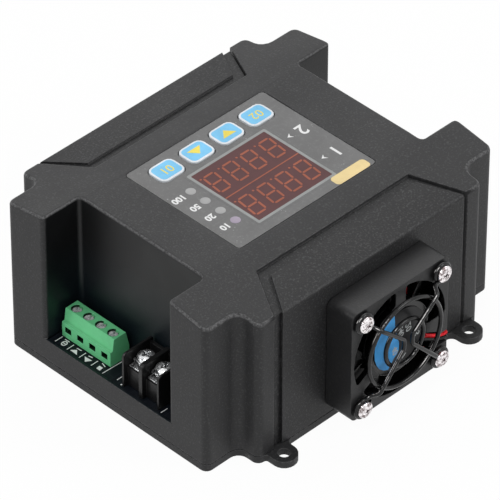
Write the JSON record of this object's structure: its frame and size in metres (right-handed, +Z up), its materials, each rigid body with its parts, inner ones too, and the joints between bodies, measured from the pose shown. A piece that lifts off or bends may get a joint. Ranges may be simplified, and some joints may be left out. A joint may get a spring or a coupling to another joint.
{
  "type": "programmable dc power supply module",
  "caption": "Small moulded power supply with a key panel and numeric displays on top, terminal recesses at both ends and a guarded cooling fan on one side.",
  "frame": {"origin": "centre of the case outline on the underside of the base plate", "axes": "+Z up; +X towards the recess with the output terminals, along the row of keys; +Y towards the fan"},
  "size_m": [0.118, 0.1201, 0.0563],
  "materials": {
    "case_black": "fine-grained matt black ABS",
    "cover_black": "fine-grained matt black ABS",
    "panel_grey": "satin printed grey film",
    "window_red": "clear dark red film",
    "display_black": "black display body with tinted face",
    "light_pipe": "frosted light guide",
    "key_blue": "light blue key with white rim",
    "part_black": "moulded black",
    "board_black": "blue-black solder mask",
    "aluminium": "extruded",
    "copper": "enamelled copper winding",
    "sleeve_blue": "dark blue sleeve",
    "ribbon_grey": "flat cable",
    "fan_black": "moulded black",
    "steel": "tin or nickel plated steel",
    "label_blue": "printed label",
    "wire_red": "insulated wire",
    "wire_black": "insulated wire",
    "guard_black": "black lacquered steel wire",
    "terminal_green": "moulded green"
  },
  "bodies": {
    "case": {"base_plate": "case_black", "case_screw_1": "steel", "case_screw_2": "steel", "case_screw_3": "steel", "case_screw_4": "steel", "control_board": "board_black", "current_display": "display_black", "display_window": "window_red", "fan_frame": "fan_black", "fan_label": "label_blue", "fan_lead_black": "wire_black", "fan_lead_red": "wire_red", "fan_screw_1": "steel", "fan_screw_2": "steel", "fan_screw_3": "steel", "fan_screw_4": "steel", "fan_side_cover": "cover_black", "fan_stator": "copper", "finger_guard": "guard_black", "heatsink": "aluminium", "indicator_light_pipe": "light_pipe", "input_barrier_block": "part_black", "input_capacitor": "sleeve_blue", "input_plate_1": "steel", "input_plate_2": "steel", "key_switch_strip": "part_black", "main_board": "board_black", "output_barrier_block": "part_black", "output_plate_1": "steel", "output_plate_2": "steel", "panel_overlay": "panel_grey", "power_coil": "copper", "power_transistor": "part_black", "rear_side_cover": "cover_black", "ribbon_cable": "ribbon_grey", "signal_terminal_housing": "terminal_green", "upper_shell": "case_black", "voltage_display": "display_black"},
    "fan_rotor": {"fan_rotor": "fan_black", "fan_shaft": "steel"},
    "key_1": {"key_1": "key_blue"},
    "key_2": {"key_2": "key_blue"},
    "key_3": {"key_3": "key_blue"},
    "key_4": {"key_4": "key_blue"},
    "signal_screw_1": {"signal_screw_1": "steel"},
    "signal_cage_1": {"signal_cage_1": "steel"},
    "signal_screw_2": {"signal_screw_2": "steel"},
    "signal_cage_2": {"signal_cage_2": "steel"},
    "signal_screw_3": {"signal_screw_3": "steel"},
    "signal_cage_3": {"signal_cage_3": "steel"},
    "signal_screw_4": {"signal_screw_4": "steel"},
    "signal_cage_4": {"signal_cage_4": "steel"},
    "output_washer_1": {"output_washer_1": "steel"},
    "output_screw_1": {"output_screw_1": "steel"},
    "output_washer_2": {"output_washer_2": "steel"},
    "output_screw_2": {"output_screw_2": "steel"},
    "input_washer_1": {"input_washer_1": "steel"},
    "input_screw_1": {"input_screw_1": "steel"},
    "input_washer_2": {"input_washer_2": "steel"},
    "input_screw_2": {"input_screw_2": "steel"}
  },
  "joints": [
    {"name": "fan_spin", "type": "hinge", "parent": "case", "child": "fan_rotor", "pos_m": [-0.0012, 0.05325, 0.0256], "axis": [0, 1, 0], "continuous": true},
    {"name": "key_1_press", "type": "slide", "parent": "case", "child": "key_1", "axis": [0, 0, -1], "range_m": [0, 0.0004], "stiffness_N_per_m": 1500, "springref_m": -0.0002},
    {"name": "key_2_press", "type": "slide", "parent": "case", "child": "key_2", "axis": [0, 0, -1], "range_m": [0, 0.0004], "stiffness_N_per_m": 1500, "springref_m": -0.0002},
    {"name": "key_3_press", "type": "slide", "parent": "case", "child": "key_3", "axis": [0, 0, -1], "range_m": [0, 0.0004], "stiffness_N_per_m": 1500, "springref_m": -0.0002},
    {"name": "key_4_press", "type": "slide", "parent": "case", "child": "key_4", "axis": [0, 0, -1], "range_m": [0, 0.0004], "stiffness_N_per_m": 1500, "springref_m": -0.0002},
    {"name": "signal_screw_1_turn", "type": "hinge", "parent": "case", "child": "signal_screw_1", "pos_m": [0.0503, -0.02142, 0.0189], "axis": [0, 0, -1], "range_deg": [0, 864]},
    {"name": "signal_cage_1_rise", "type": "slide", "parent": "case", "child": "signal_cage_1", "axis": [0, 0, 1], "range_m": [0, 0.0012]},
    {"name": "signal_screw_2_turn", "type": "hinge", "parent": "case", "child": "signal_screw_2", "pos_m": [0.0503, -0.01634, 0.0189], "axis": [0, 0, -1], "range_deg": [0, 864]},
    {"name": "signal_cage_2_rise", "type": "slide", "parent": "case", "child": "signal_cage_2", "axis": [0, 0, 1], "range_m": [0, 0.0012]},
    {"name": "signal_screw_3_turn", "type": "hinge", "parent": "case", "child": "signal_screw_3", "pos_m": [0.0503, -0.01126, 0.0189], "axis": [0, 0, -1], "range_deg": [0, 864]},
    {"name": "signal_cage_3_rise", "type": "slide", "parent": "case", "child": "signal_cage_3", "axis": [0, 0, 1], "range_m": [0, 0.0012]},
    {"name": "signal_screw_4_turn", "type": "hinge", "parent": "case", "child": "signal_screw_4", "pos_m": [0.0503, -0.00618, 0.0189], "axis": [0, 0, -1], "range_deg": [0, 864]},
    {"name": "signal_cage_4_rise", "type": "slide", "parent": "case", "child": "signal_cage_4", "axis": [0, 0, 1], "range_m": [0, 0.0012]},
    {"name": "output_washer_1_slide", "type": "slide", "parent": "case", "child": "output_washer_1", "axis": [0, 0, -1], "range_m": [0, 0.0006]},
    {"name": "output_screw_1_turn", "type": "hinge", "parent": "output_washer_1", "child": "output_screw_1", "pos_m": [0.0512, 0.00847, 0.0192], "axis": [0, 0, -1], "range_deg": [0, 432]},
    {"name": "output_washer_2_slide", "type": "slide", "parent": "case", "child": "output_washer_2", "axis": [0, 0, -1], "range_m": [0, 0.0006]},
    {"name": "output_screw_2_turn", "type": "hinge", "parent": "output_washer_2", "child": "output_screw_2", "pos_m": [0.0512, 0.01603, 0.0192], "axis": [0, 0, -1], "range_deg": [0, 432]},
    {"name": "input_washer_1_slide", "type": "slide", "parent": "case", "child": "input_washer_1", "axis": [0, 0, -1], "range_m": [0, 0.0006]},
    {"name": "input_screw_1_turn", "type": "hinge", "parent": "input_washer_1", "child": "input_screw_1", "pos_m": [-0.0512, -0.00847, 0.0192], "axis": [0, 0, -1], "range_deg": [0, 432]},
    {"name": "input_washer_2_slide", "type": "slide", "parent": "case", "child": "input_washer_2", "axis": [0, 0, -1], "range_m": [0, 0.0006]},
    {"name": "input_screw_2_turn", "type": "hinge", "parent": "input_washer_2", "child": "input_screw_2", "pos_m": [-0.0512, -0.01603, 0.0192], "axis": [0, 0, -1], "range_deg": [0, 432]}
  ],
  "couplings": [
    {"joint": "signal_screw_1_turn", "follows": "signal_cage_1_rise", "rad_per_m": 12566},
    {"joint": "signal_screw_2_turn", "follows": "signal_cage_2_rise", "rad_per_m": 12566},
    {"joint": "signal_screw_3_turn", "follows": "signal_cage_3_rise", "rad_per_m": 12566},
    {"joint": "signal_screw_4_turn", "follows": "signal_cage_4_rise", "rad_per_m": 12566},
    {"joint": "output_screw_1_turn", "follows": "output_washer_1_slide", "rad_per_m": 12566},
    {"joint": "output_screw_2_turn", "follows": "output_washer_2_slide", "rad_per_m": 12566},
    {"joint": "input_screw_1_turn", "follows": "input_washer_1_slide", "rad_per_m": 12566},
    {"joint": "input_screw_2_turn", "follows": "input_washer_2_slide", "rad_per_m": 12566}
  ]
}
